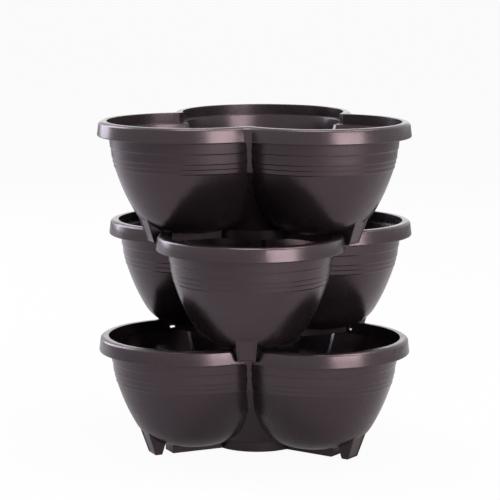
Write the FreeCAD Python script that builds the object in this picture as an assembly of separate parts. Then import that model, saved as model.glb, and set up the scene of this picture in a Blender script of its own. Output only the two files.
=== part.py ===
import FreeCAD, Part
import math
import os

# Vertical planter tower: three loose three-lobed bowls, each turned by 60 degrees from the one below.
# Millimetres, +Z up. The origin is on the tower's axis, on the ground that the legs stand on.

# Driving sizes of one tier
lobe_offset = 86.0          # tower axis to the axis of a lobe
lip_radius = 110.5          # a lobe at the lower edge of its lip
tier_height = 141.0         # ground to the top of the rim
wall = 3.0                  # walls and floors of the bowl

# Rim: a flat top, a skirt that flares outwards and a collar inside it
nest_depth = 13.0           # how far a tier sinks into the rim below it
lip_height = 17.5
lip_flare = 3.0             # the skirt's foot stands this much outside its top
crest_round = 3.0           # radius of the skirt's top edge
rim_width = 8.5             # flat top, from the opening to the skirt
skirt_wall = 2.5
rim_valley_half = 4.7       # half the flat that fills the rim between two lobes

# Wall of a lobe, given as shares of its top radius and of its depth
shelf = 13.5                # the lip's foot stands this much outside the wall
shoulder_share = 0.927      # its height follows the lowest step
shoulder_gap = 0.24         # from the lowest step's edge down to the shoulder
belly_share = (0.833, 0.440)
waist_share = (0.732, 0.263)
heel_share = (0.630, 0.132)
toe_share = (0.500, 0.046)
floor_share = (0.350, 0.0)
lobe_dip = 2.0              # underside of a lobe below the top of the rim that it nests in
valley_half = 4.0           # half the flat strip between two lobes
valley_inside_half = 3.4    # the same strip on the inside of the wall
rim_inside_half = 4.2       # and on the inside of the rim

# Fine steps around each lobe, each one a little further in than the wall above it
step_depth = 0.8
step_slant = 0.9            # a step's edge slopes inwards over this height
step_drops = (31.0, 42.8, 48.7, 54.3)   # below the rim's top

# Body between the lobes and the foot under it
core_radius = 54.0
core_top_radius = 101.589
core_rise = 1.5             # the body's underside above the lobes' undersides
core_drop = 41.5            # its cone ends this far below the rim's top
foot_inset = 0.6            # the foot ring stands this much inside the body's edge
foot_gap = 0.4              # the ring and arms stay this much above the ground
arm_reach = 116.0
arm_half = 12.0
foot_wall = 2.5

# Legs, one at the outside of each lobe
leg_foot_radius = 138.0     # outer face at the ground
leg_foot_half = 10.8
leg_top_half = 12.6
leg_height = 28.0
leg_wall = 3.0
leg_cheek = 2.5             # side walls of the leg
leg_depth = 8.5             # outer face to the inner edge of its side walls
leg_splay = 0.3             # that edge leans inwards this much per unit of height
bead = 2.0                  # raised edge around the leg's outer face
bead_depth = 0.5

# Notches in the rim that take the legs of the next tier
notch_side_gap = 1.7        # on each side of the leg, at the notch's floor
notch_spread = 4.9          # each side opens by this much up to the rim's top
notch_wall = 2.5

drain_diameter = 8.0

# Sizes that follow from them
tier_rise = tier_height - nest_depth
lobe_lift = nest_depth - lobe_dip
core_lift = lobe_lift + core_rise
core_height = tier_height - core_drop - core_lift
core_slope = (core_top_radius - core_radius) / core_height
lip_foot = tier_height - lip_height
crest_radius = lip_radius - lip_flare
opening_radius = crest_radius - rim_width
wall_top = tier_height - nest_depth
wall_radius = lip_radius - shelf
ledge_under = wall_top - wall
bowl_depth = ledge_under - lobe_lift
lobe_turn = 120.0
half_turn = lobe_turn / 2
axis_rise = lobe_offset * math.sin(math.radians(half_turn))
axis_run = lobe_offset * math.cos(math.radians(half_turn))
up = FreeCAD.Vector(0, 0, 1)
centre = FreeCAD.Vector(0, 0, 0)


def at(radius, height, side=0.0):
    return FreeCAD.Vector(radius, side, height)


def turned(shape, angle):
    copy = shape.copy()
    copy.rotate(centre, up, angle)
    return copy


def ring_of(shape, first=0.0):
    return [turned(shape, first + lobe_turn * number) for number in range(3)]


def joined(shapes):
    return shapes[0].fuse(shapes[1:])


def outline(points):
    return [Part.LineSegment(a, b).toShape() for a, b in zip(points, points[1:])]


def face_of(edges):
    return Part.Face(Part.Wire(edges))


def plate(points, half):
    # a flat shape in the radius and height plane, thickened to both sides
    solid = face_of(outline(points + points[:1])).extrude(FreeCAD.Vector(0, 2 * half, 0))
    solid.translate(FreeCAD.Vector(0, -half, 0))
    return solid


def spun(edges):
    # a lobe: the outline is turned about its own axis, then set beside the tower's axis
    solid = face_of(edges).revolve(centre, up, 360)
    solid.translate(FreeCAD.Vector(lobe_offset, 0, 0))
    return solid


def three_lobes(edges):
    return joined(ring_of(spun(edges)))


def closed_to_axis(edges, low, high):
    # low and high are the outline's own ends
    return (outline([at(0, low.z), low]) + edges + outline([high, at(0, high.z), at(0, low.z)]))


def valley_radius(radius, half):
    # where a flat this wide meets two neighbouring lobes, measured from the tower's axis
    gap = axis_rise - half
    return axis_run + math.sqrt(max(radius * radius - gap * gap, 0.0))


def valley_fill(stations, half):
    # stations are pairs of lobe radius and height, from low to high
    front = [at(valley_radius(radius, half), height) for radius, height in stations]
    low = stations[0][1]
    high = stations[-1][1]
    back = axis_run - half
    solid = plate([at(back, low)] + front + [at(back, high)], half)
    return joined(ring_of(solid, half_turn))


def share_point(share):
    return at(wall_radius * share[0], lobe_lift + bowl_depth * share[1])


def shoulder_point():
    edge = tier_height - max(step_drops) - step_slant / 2
    return at(wall_radius * shoulder_share, edge - shoulder_gap)


def lower_wall(inset):
    # floor edge, toe, heel, waist, belly and shoulder as one smooth curve
    shares = (floor_share, toe_share, heel_share, waist_share, belly_share)
    points = [share_point(share) for share in shares] + [shoulder_point()]
    curve = Part.BSplineCurve()
    curve.interpolate(points)
    if inset == 0:
        return curve.toShape(), points
    inside = [at(points[0].x - inset / 3, points[0].z + inset)]
    for point in points[1:-1]:
        along = curve.tangent(curve.parameter(point))[0]
        inside.append(point + at(-along.z, along.x) * inset)
    inside.append(at(points[-1].x - inset, points[-1].z))
    curve = Part.BSplineCurve()
    curve.interpolate(inside)
    return curve.toShape(), inside


def outer_wall():
    curve, points = lower_wall(0.0)
    shoulder = points[-1]
    steps = len(step_drops)
    lean = (wall_radius - shoulder.x - steps * step_depth) / (wall_top - shoulder.z)
    path = [shoulder]
    for number, drop in enumerate(sorted(step_drops, reverse=True)):
        height = tier_height - drop
        radius = shoulder.x + lean * (height - shoulder.z)
        path.append(at(radius + number * step_depth, height - step_slant / 2))
        path.append(at(radius + (number + 1) * step_depth, height + step_slant / 2))
    path.append(at(wall_radius, wall_top))
    return [curve] + outline(path), points[0], path[-1]


def inner_wall():
    curve, points = lower_wall(wall)
    top = at(wall_radius - wall, wall_top)
    return [curve] + outline([points[-1], top]), points[0], top


def lip_stations(inset, top):
    # skirt from its foot to its rounded top edge
    foot = at(lip_radius - inset, lip_foot)
    shoulder = at(crest_radius + 0.4 * lip_flare - inset, top - crest_round)
    middle = at(crest_radius - 0.3 * crest_round - inset, top - 0.3 * crest_round)
    crest = at(crest_radius - crest_round - inset, top)
    return foot, shoulder, middle, crest


def lip_block(inset, top, half):
    foot, shoulder, middle, crest = lip_stations(inset, top)
    edges = outline([foot, shoulder]) + [Part.Arc(shoulder, middle, crest).toShape()]
    lobes = three_lobes(closed_to_axis(edges, foot, crest))
    stations = [(point.x, point.z) for point in (foot, shoulder, middle, crest)]
    return lobes.fuse(valley_fill(stations, half))


def notch_tool(extra, floor):
    # a wedge in each valley, wider at the top
    half = leg_foot_half + notch_side_gap + extra
    spread = notch_spread / nest_depth
    over = tier_height + nest_depth
    far = lobe_offset + lip_radius
    points = [(half, floor), (half + spread * (over - floor), over)]
    corners = [FreeCAD.Vector(axis_run, side, height) for side, height in points]
    corners += [FreeCAD.Vector(axis_run, -side, height) for side, height in reversed(points)]
    solid = face_of(outline(corners + corners[:1])).extrude(FreeCAD.Vector(far - axis_run, 0, 0))
    return joined(ring_of(solid, half_turn))


def leg():
    # a channel that leans inwards: outer plate, a side wall at each edge, a shallow panel in its face
    heel = share_point(heel_share)
    top_radius = lobe_offset + heel.x
    lean = (top_radius - leg_foot_radius) / heel.z
    rise = leg_height + leg_wall
    spread = (leg_top_half - leg_foot_half) / leg_height

    def slab(outer, depth, half, low):
        # a leaning slab between two levels, tapering in width
        wires = []
        for height in (low, rise):
            radius = leg_foot_radius + outer + lean * height
            side = half + spread * height
            corners = [at(radius - depth, height, -side), at(radius, height, -side),
                       at(radius, height, side), at(radius - depth, height, side)]
            wires.append(Part.Wire(outline(corners + corners[:1])))
        return Part.makeLoft(wires, True, True)

    solid = slab(0.0, leg_wall, leg_foot_half, 0.0)
    inner = leg_foot_radius - leg_depth
    middle = leg_foot_radius - leg_wall / 2
    tip = at(inner - leg_splay * rise, rise)
    corners = [at(inner, 0), at(middle, 0), at(middle + lean * rise, rise), tip]
    cheeks = plate(corners, leg_top_half + leg_wall)
    sleeve = slab(0.0, 3 * leg_depth, leg_foot_half, 0.0)
    core = slab(leg_wall, 3 * leg_depth + 2 * leg_wall, leg_foot_half - leg_cheek, 0.0)
    cheeks = cheeks.common(sleeve).cut(core)
    panel = slab(leg_wall, leg_wall + bead_depth, leg_foot_half - bead, bead)
    return solid.fuse(cheeks).cut(panel)


def foot():
    # ring under the middle and a hollow arm under each lobe
    ring = Part.makeCylinder(core_radius - foot_inset, core_lift - foot_gap + wall / 2, at(0, foot_gap))
    ring = ring.cut(Part.makeCylinder(core_radius - foot_inset - foot_wall, core_lift, at(0, foot_gap)))
    start = core_radius - foot_inset - foot_wall / 2
    height = lobe_lift - foot_gap + wall / 2
    length = arm_reach - start
    outer = Part.makeBox(length, 2 * arm_half, height, at(start, foot_gap, -arm_half))
    bore_half = arm_half - foot_wall
    inner = Part.makeBox(length, 2 * bore_half, height, at(start - foot_wall, foot_gap, -bore_half))
    return ring.fuse(ring_of(outer.cut(inner)))


def core_cone(inset):
    low = core_lift + inset
    high = core_lift + core_height
    across = inset * math.sqrt(1 + core_slope ** 2)
    base = core_radius + core_slope * inset - across
    top = core_radius + core_slope * core_height - across
    return Part.makeCone(base, top, high - low, at(0, low))


def tier(notched):
    edges, low, high = outer_wall()
    strip_low = share_point(belly_share)
    shoulder = shoulder_point()
    stations = [(strip_low.x, strip_low.z), (shoulder.x, shoulder.z), (wall_radius, wall_top)]
    collar_radius = opening_radius + skirt_wall
    collar = [at(collar_radius, ledge_under), at(collar_radius, tier_height)]
    body = three_lobes(closed_to_axis(edges, low, high)).fuse(valley_fill(stations, valley_half))
    body = body.fuse([core_cone(0.0), three_lobes(closed_to_axis(outline(collar), *collar))])

    lip = lip_block(0.0, tier_height, rim_valley_half)
    under = lip_block(skirt_wall, tier_height - skirt_wall, rim_valley_half - skirt_wall / 2)
    shell = lip.cut(under).fuse(body)
    if notched:
        shell = shell.fuse(lip.common(notch_tool(notch_wall, wall_top - wall)))
        shell = shell.cut(notch_tool(0.0, wall_top))
    shell = shell.fuse(ring_of(leg()))

    edges, low, high = inner_wall()
    mouth = [at(opening_radius, wall_top), at(opening_radius, tier_height)]
    hollow = three_lobes(closed_to_axis(edges, low, high))
    hollow = hollow.fuse([core_cone(wall), three_lobes(closed_to_axis(outline(mouth), *mouth))])
    inside = [(radius - wall, height) for radius, height in stations]
    brim = [(opening_radius, wall_top), (opening_radius, tier_height)]
    hollow = hollow.fuse([valley_fill(inside, valley_inside_half), valley_fill(brim, rim_inside_half)])
    shell = shell.cut(hollow).fuse(foot())
    drains = Part.makeCylinder(drain_diameter / 2, lobe_lift + 2 * wall, at(lobe_offset, 0))
    return shell.cut(ring_of(drains)).removeSplitter()


def main():
    os.makedirs("parts", exist_ok=True)
    notched_tier = tier(True)
    plain_tier = tier(False)
    # the lobes of the bottom and top tiers stand at 90, 210 and 330 degrees
    stack = (("bottom_tier", notched_tier, 90.0), ("middle_tier", notched_tier, 30.0),
             ("top_tier", plain_tier, 90.0))
    for number, (name, shape, angle) in enumerate(stack):
        placed = turned(shape, angle)
        placed.translate(FreeCAD.Vector(0, 0, number * tier_rise))
        placed.exportStep("parts/" + name + ".step")
        box = placed.BoundBox
        print(name, placed.isValid(), len(placed.Solids), round(placed.Volume),
              [round(value, 2) for value in (box.XMin, box.XMax, box.YMin, box.YMax, box.ZMin, box.ZMax)])


main()
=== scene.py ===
import math

import bmesh
import bpy
from bpy.props import FloatProperty, FloatVectorProperty, PointerProperty
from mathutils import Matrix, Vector


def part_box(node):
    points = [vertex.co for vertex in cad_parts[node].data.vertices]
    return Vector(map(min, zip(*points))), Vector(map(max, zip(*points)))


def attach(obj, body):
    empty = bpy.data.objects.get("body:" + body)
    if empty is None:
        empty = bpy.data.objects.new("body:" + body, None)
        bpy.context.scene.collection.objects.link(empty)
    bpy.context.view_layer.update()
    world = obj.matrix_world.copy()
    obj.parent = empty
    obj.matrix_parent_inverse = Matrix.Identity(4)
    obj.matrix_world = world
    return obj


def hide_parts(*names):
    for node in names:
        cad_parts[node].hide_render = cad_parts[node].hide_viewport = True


bl_info = {
    "name": "Planter tower",
    "version": (1, 0, 0),
    "blender": (4, 5, 0),
    "location": "3D View > Sidebar > Planter tower",
    "description": "Three lobed planter bowls stacked crosswise, with plastic and stage",
    "category": "Object",
}

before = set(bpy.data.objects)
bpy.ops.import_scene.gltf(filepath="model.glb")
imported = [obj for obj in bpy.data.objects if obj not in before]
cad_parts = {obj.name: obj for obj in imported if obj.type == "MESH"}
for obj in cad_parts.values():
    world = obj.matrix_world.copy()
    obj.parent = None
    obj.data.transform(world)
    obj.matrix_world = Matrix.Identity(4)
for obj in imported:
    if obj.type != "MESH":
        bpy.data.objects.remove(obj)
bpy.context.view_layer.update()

PLASTIC = "satin_black_plastic"
WHITE = (1, 1, 1, 1)
RIPPLE = 0.03  # size of the slow waves in the plastic

# Edges that bend by more than this many degrees are rounded, or stay sharp in the shading
LIP_BEND, STEP_BEND, EDGE_BEND, SHADE_BEND = 30, 20, 32, 38

# A point lies on the lip's lower edge or in the band of steps when it is this near
LIP_LEVEL, LIP_REACH = 0.0002, 0.0006
STEP_REACH = (0.089, 0.098)

# Every lamp looks at this point. Name, place, width and height, power, colour
AIM = (0, 0, 0.2)
LAMPS = (
    ("warm_softbox", (1.53, -1.69, 0.66), (1.5, 1.1), 41.6, (1, 0.95, 0.92)),
    ("cool_softbox", (-1.77, 1.1, 1.17), (1.0, 2.0), 37.7, (0.88, 0.86, 1)),
    ("ceiling", (0, 0, 2.5), (0.9, 0.9), 16.9, (0.94, 0.94, 1)),
    ("high_softbox", (1.08, 0, 2.23), (0.9, 0.9), 18.2, (1, 0.85, 0.8)),
    ("rear_softbox", (-0.2, 2.27, 0.57), (1.4, 0.6), 2.3, (1, 0.97, 1)),
)


class PlasticSettings(bpy.types.PropertyGroup):
    """Colours and sizes of the moulded plastic"""

    colour: FloatVectorProperty(
        name="Colour", description="Body colour of the plastic", subtype="COLOR",
        size=3, min=0, max=1, default=(0.0077, 0.0056, 0.0064))
    bloom: FloatVectorProperty(
        name="Bloom", description="Colour of the paler clouds in the plastic", subtype="COLOR",
        size=3, min=0, max=1, default=(0.0126, 0.0092, 0.0106))
    roughness: FloatProperty(
        name="Roughness",
        description="Gloss of the smoothest places",
        min=0, max=1, default=0.22)
    dullness: FloatProperty(
        name="Dullness", description="Gloss of the dullest places", min=0, max=1, default=0.3)
    sheen_level: FloatProperty(
        name="Reflection",
        description="How much the surface reflects",
        min=0, max=1, default=0.68)
    sheen_tint: FloatVectorProperty(
        name="Reflection tint",
        description="Colour of what the surface reflects",
        subtype="COLOR",
        size=3, min=0, max=1, default=(1.0, 0.78, 0.87))
    grain: FloatProperty(
        name="Grain",
        description="Size of the fine moulding grain",
        unit="LENGTH", default=0.0011)
    grain_depth: FloatProperty(
        name="Grain depth", description="Height of the grain", unit="LENGTH", default=0.000035)
    cloud: FloatProperty(
        name="Clouds",
        description="Size of the clouds in the gloss",
        unit="LENGTH", default=0.045)
    ripple_depth: FloatProperty(
        name="Ripple depth", description="Height of the slow waves that moulding leaves",
        unit="LENGTH", default=0.0002)


class BowlSettings(bpy.types.PropertyGroup):
    """How far the mould rounds the edges of a bowl"""

    lobe_offset: FloatProperty(
        name="Lobe offset",
        description="Tower axis to the axis of a lobe",
        unit="LENGTH", default=0.086)
    lip_radius: FloatProperty(
        name="Lip radius",
        description="A lobe at the lower edge of its lip",
        unit="LENGTH", default=0.1105)
    lip_foot: FloatProperty(
        name="Lip foot", description="Height of the lip's lower edge in its bowl",
        unit="LENGTH", default=0.1235)
    lip_round: FloatProperty(
        name="Lip rounding",
        description="Rounding of the lip's lower edge",
        unit="LENGTH", default=0.0014)
    step_low: FloatProperty(
        name="Lowest step", description="The fine steps begin above this height in the bowl",
        unit="LENGTH", default=0.0855)
    step_high: FloatProperty(
        name="Highest step", description="The fine steps end below this height in the bowl",
        unit="LENGTH", default=0.1112)
    step_round: FloatProperty(
        name="Step rounding",
        description="Rounding of the fine steps",
        unit="LENGTH", default=0.0002)
    edge_round: FloatProperty(
        name="Edge rounding",
        description="Rounding of all other edges",
        unit="LENGTH", default=0.0005)


class StageSettings(bpy.types.PropertyGroup):
    """Floor, light and camera"""

    floor_colour: FloatVectorProperty(
        name="Floor", description="Colour of the floor", subtype="COLOR",
        size=3, min=0, max=1, default=(0.85, 0.85, 0.85))
    floor_glow: FloatProperty(
        name="Floor glow",
        description="Share of plain white in the floor as the camera sees it",
        min=0, max=1, default=0.95)
    floor_mirrored: FloatProperty(
        name="Mirrored glow",
        description="Share of plain white in the floor as a gloss or clear part shows it",
        min=0, max=1, default=0.2)
    world_light: FloatProperty(
        name="World light", description="Strength of the plain light from all sides",
        min=0, max=1, default=0.15)
    camera_place: FloatVectorProperty(
        name="Camera place", description="Where the camera stands", subtype="TRANSLATION",
        unit="LENGTH", size=3, default=(0.2112, -2.4762, 0.6241))
    camera_down: FloatProperty(
        name="Camera tilt",
        description="How far the camera looks down",
        subtype="ANGLE", default=0.1546)
    camera_turn: FloatProperty(
        name="Camera turn",
        description="How far the camera turns to its left",
        subtype="ANGLE", default=0.08849)
    lens: FloatProperty(
        name="Lens", description="Focal length in millimetres", default=150.37)


def plastic(settings):
    """Black satin plastic: fine grain, slow waves from the mould and clouds in its gloss."""
    material = bpy.data.materials.new(PLASTIC)
    material.use_nodes = True
    nodes, links = material.node_tree.nodes, material.node_tree.links
    shader = nodes["Principled BSDF"]
    place = nodes.new("ShaderNodeTexCoord")

    def noise(size, detail):
        texture = nodes.new("ShaderNodeTexNoise")
        texture.inputs["Scale"].default_value = 1 / size
        texture.inputs["Detail"].default_value = detail
        links.new(place.outputs["Object"], texture.inputs["Vector"])
        return texture.outputs["Fac"]

    clouds = noise(settings.cloud, 4)
    gloss = nodes.new("ShaderNodeMapRange")
    gloss.inputs["From Min"].default_value = 0.32
    gloss.inputs["From Max"].default_value = 0.68
    gloss.inputs["To Min"].default_value = settings.roughness
    gloss.inputs["To Max"].default_value = settings.dullness
    links.new(clouds, gloss.inputs["Value"])
    links.new(gloss.outputs["Result"], shader.inputs["Roughness"])

    tint = nodes.new("ShaderNodeMix")
    tint.data_type = "RGBA"
    tint.inputs["A"].default_value = (*settings.colour, 1)
    tint.inputs["B"].default_value = (*settings.bloom, 1)
    links.new(noise(settings.cloud * 0.4, 5), tint.inputs["Factor"])
    links.new(tint.outputs["Result"], shader.inputs["Base Color"])

    waves = nodes.new("ShaderNodeBump")
    waves.inputs["Distance"].default_value = settings.ripple_depth
    links.new(noise(RIPPLE, 1), waves.inputs["Height"])
    grain = nodes.new("ShaderNodeBump")
    grain.inputs["Distance"].default_value = settings.grain_depth
    links.new(noise(settings.grain, 2), grain.inputs["Height"])
    links.new(waves.outputs["Normal"], grain.inputs["Normal"])
    links.new(grain.outputs["Normal"], shader.inputs["Normal"])
    shader.inputs["Specular IOR Level"].default_value = settings.sheen_level
    shader.inputs["Specular Tint"].default_value = (*settings.sheen_tint, 1)
    return material


def shared_plastic(context):
    material = bpy.data.materials.get(PLASTIC)
    return material or plastic(context.scene.planter_plastic)


def from_lobe(point, first, offset):
    """Distance of a point from the nearest lobe's own axis."""
    turns = (math.radians(first + 120 * number) for number in range(3))
    axes = ((offset * math.cos(turn), offset * math.sin(turn)) for turn in turns)
    return min(math.hypot(point.x - across, point.y - along) for across, along in axes)


def round_edges(bowl, width, segments, limit, wanted):
    """Bevel the edges that bend by more than the limit and that wanted picks by their place."""
    bpy.ops.mesh.select_all(action="DESELECT")
    bpy.ops.mesh.edges_select_sharp(sharpness=math.radians(limit))
    mesh = bmesh.from_edit_mesh(bowl.data)
    for edge in mesh.edges:
        if edge.select and not wanted((edge.verts[0].co + edge.verts[1].co) / 2):
            edge.select = False
    mesh.select_flush_mode()
    bmesh.update_edit_mesh(bowl.data)
    if not any(edge.select for edge in mesh.edges):
        raise RuntimeError("no edge to round on " + bowl.name)
    bpy.ops.mesh.bevel(
        offset=width, segments=segments, profile=0.5, affect="EDGES", clamp_overlap=False)


def moulded_bowl(context, node, name, first):
    """A bowl with the rounded edges of its mould; first is the turn of its first lobe."""
    sizes = context.scene.planter_bowl
    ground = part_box(node)[0][2]
    bpy.ops.object.select_all(action="DESELECT")
    bowl = bpy.data.objects.new(name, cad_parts[node].data.copy())
    context.scene.collection.objects.link(bowl)
    bowl.select_set(True)
    context.view_layer.objects.active = bowl
    bpy.ops.object.mode_set(mode="EDIT")
    bpy.ops.mesh.select_mode(type="EDGE")
    bpy.ops.mesh.select_all(action="SELECT")
    bpy.ops.mesh.remove_doubles(threshold=0.00001)
    bpy.ops.mesh.customdata_custom_splitnormals_clear()

    def on_lip_foot(point):
        reach = from_lobe(point, first, sizes.lobe_offset)
        level = abs(point.z - ground - sizes.lip_foot) < LIP_LEVEL
        return level and abs(reach - sizes.lip_radius) < LIP_REACH

    def on_step(point):
        reach = from_lobe(point, first, sizes.lobe_offset)
        level = sizes.step_low < point.z - ground < sizes.step_high
        return level and STEP_REACH[0] < reach < STEP_REACH[1]

    round_edges(bowl, sizes.lip_round, 3, LIP_BEND, on_lip_foot)
    round_edges(bowl, sizes.step_round, 1, STEP_BEND, on_step)
    round_edges(bowl, sizes.edge_round, 2, EDGE_BEND, lambda point: not on_step(point))
    bpy.ops.object.mode_set(mode="OBJECT")
    bpy.ops.object.shade_smooth_by_angle(angle=math.radians(SHADE_BEND))
    modifier = bowl.modifiers.new("even_shading", "WEIGHTED_NORMAL")
    modifier.keep_sharp = True
    bpy.ops.object.modifier_apply(modifier=modifier.name)
    bowl.data.materials.clear()
    bowl.data.materials.append(shared_plastic(context))
    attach(bowl, node)
    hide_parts(node)
    return bowl


class PLANTER_OT_notched_bowls(bpy.types.Operator):
    """Make the two lower bowls, whose rims have notches for the legs above"""

    bl_idname = "planter_tower.notched_bowls"
    bl_label = "Notched bowls"

    def execute(self, context):
        moulded_bowl(context, "bottom_tier", "bottom_bowl", 90)
        moulded_bowl(context, "middle_tier", "middle_bowl", 30)
        return {"FINISHED"}


class PLANTER_OT_top_bowl(bpy.types.Operator):
    """Make the top bowl, whose rim runs round without a notch"""

    bl_idname = "planter_tower.top_bowl"
    bl_label = "Top bowl"

    def execute(self, context):
        moulded_bowl(context, "top_tier", "top_bowl", 90)
        return {"FINISHED"}


class PLANTER_OT_stage(bpy.types.Operator):
    """Lay the floor and set the light and the camera"""

    bl_idname = "planter_tower.stage"
    bl_label = "Stage"

    def seen_rays(self, nodes, links, direct, mirrored):
        """direct for the camera, mirrored for a gloss or clear part, nought for plain light"""
        path = nodes.new("ShaderNodeLightPath")
        total = None
        rays = (
            ("Is Camera Ray", direct), ("Is Glossy Ray", mirrored),
            ("Is Transmission Ray", mirrored))
        for kind, level in rays:
            part = nodes.new("ShaderNodeMath")
            part.operation = "MULTIPLY"
            part.inputs[1].default_value = level
            links.new(path.outputs[kind], part.inputs[0])
            if total is None:
                total = part.outputs[0]
                continue
            either = nodes.new("ShaderNodeMath")
            either.operation = "MAXIMUM"
            links.new(total, either.inputs[0])
            links.new(part.outputs[0], either.inputs[1])
            total = either.outputs[0]
        return total

    def execute(self, context):
        scene, settings = context.scene, context.scene.planter_stage
        bpy.ops.object.select_all(action="DESELECT")
        bpy.ops.mesh.primitive_plane_add(size=40, location=(0, 0, 0))
        floor = context.object
        floor.name = "floor"
        paint = bpy.data.materials.new("floor_paint")
        paint.use_nodes = True
        nodes, links = paint.node_tree.nodes, paint.node_tree.links
        shader = nodes["Principled BSDF"]
        shader.inputs["Base Color"].default_value = (*settings.floor_colour, 1)
        shader.inputs["Roughness"].default_value = 0.9
        glow = nodes.new("ShaderNodeEmission")
        mix = nodes.new("ShaderNodeMixShader")
        seen = self.seen_rays(nodes, links, settings.floor_glow, settings.floor_mirrored)
        links.new(seen, mix.inputs["Fac"])
        links.new(shader.outputs[0], mix.inputs[1])
        links.new(glow.outputs[0], mix.inputs[2])
        links.new(mix.outputs[0], nodes["Material Output"].inputs["Surface"])
        floor.data.materials.append(paint)

        world = bpy.data.worlds.new("studio")
        scene.world = world
        world.use_nodes = True
        nodes, links = world.node_tree.nodes, world.node_tree.links
        back = nodes["Background"]
        back.inputs["Color"].default_value = WHITE
        back.inputs["Strength"].default_value = settings.world_light
        white = nodes.new("ShaderNodeBackground")
        white.inputs["Strength"].default_value = 1
        white.inputs["Color"].default_value = WHITE
        mix = nodes.new("ShaderNodeMixShader")
        links.new(self.seen_rays(nodes, links, 1, 1), mix.inputs["Fac"])
        links.new(back.outputs[0], mix.inputs[1])
        links.new(white.outputs[0], mix.inputs[2])
        links.new(mix.outputs[0], nodes["World Output"].inputs["Surface"])

        bpy.ops.object.camera_add(location=settings.camera_place, rotation=(
            math.pi / 2 - settings.camera_down, 0, settings.camera_turn))
        camera = context.object
        camera.data.lens = settings.lens
        camera.data.sensor_width = 36
        camera.data.clip_end = 100
        scene.camera = camera
        scene.view_settings.view_transform = "Standard"

        for name, place, size, power, colour in LAMPS:
            bpy.ops.object.light_add(type="AREA", location=place)
            light = context.object
            light.name = name
            away = Vector(AIM) - Vector(place)
            light.rotation_euler = away.to_track_quat("-Z", "Y").to_euler()
            light.data.shape = "RECTANGLE"
            light.data.size, light.data.size_y = size
            light.data.energy = power
            light.data.color = colour
        return {"FINISHED"}


class PLANTER_PT_tower(bpy.types.Panel):
    """Planter tower tools"""

    bl_idname = "PLANTER_PT_tower"
    bl_label = "Planter tower"
    bl_space_type = "VIEW_3D"
    bl_region_type = "UI"
    bl_category = "Planter tower"

    def draw(self, context):
        for kind in PIECES:
            self.layout.operator(kind.bl_idname)


PIECES = (PLANTER_OT_notched_bowls, PLANTER_OT_top_bowl, PLANTER_OT_stage)
CLASSES = (PlasticSettings, BowlSettings, StageSettings, *PIECES, PLANTER_PT_tower)


def register():
    for kind in CLASSES:
        bpy.utils.register_class(kind)
    bpy.types.Scene.planter_plastic = PointerProperty(type=PlasticSettings)
    bpy.types.Scene.planter_bowl = PointerProperty(type=BowlSettings)
    bpy.types.Scene.planter_stage = PointerProperty(type=StageSettings)


def unregister():
    del bpy.types.Scene.planter_stage
    del bpy.types.Scene.planter_bowl
    del bpy.types.Scene.planter_plastic
    for kind in reversed(CLASSES):
        bpy.utils.unregister_class(kind)


def main():
    register()
    bpy.ops.planter_tower.notched_bowls()
    bpy.ops.planter_tower.top_bowl()
    bpy.ops.planter_tower.stage()


if __name__ == "__main__":
    main()
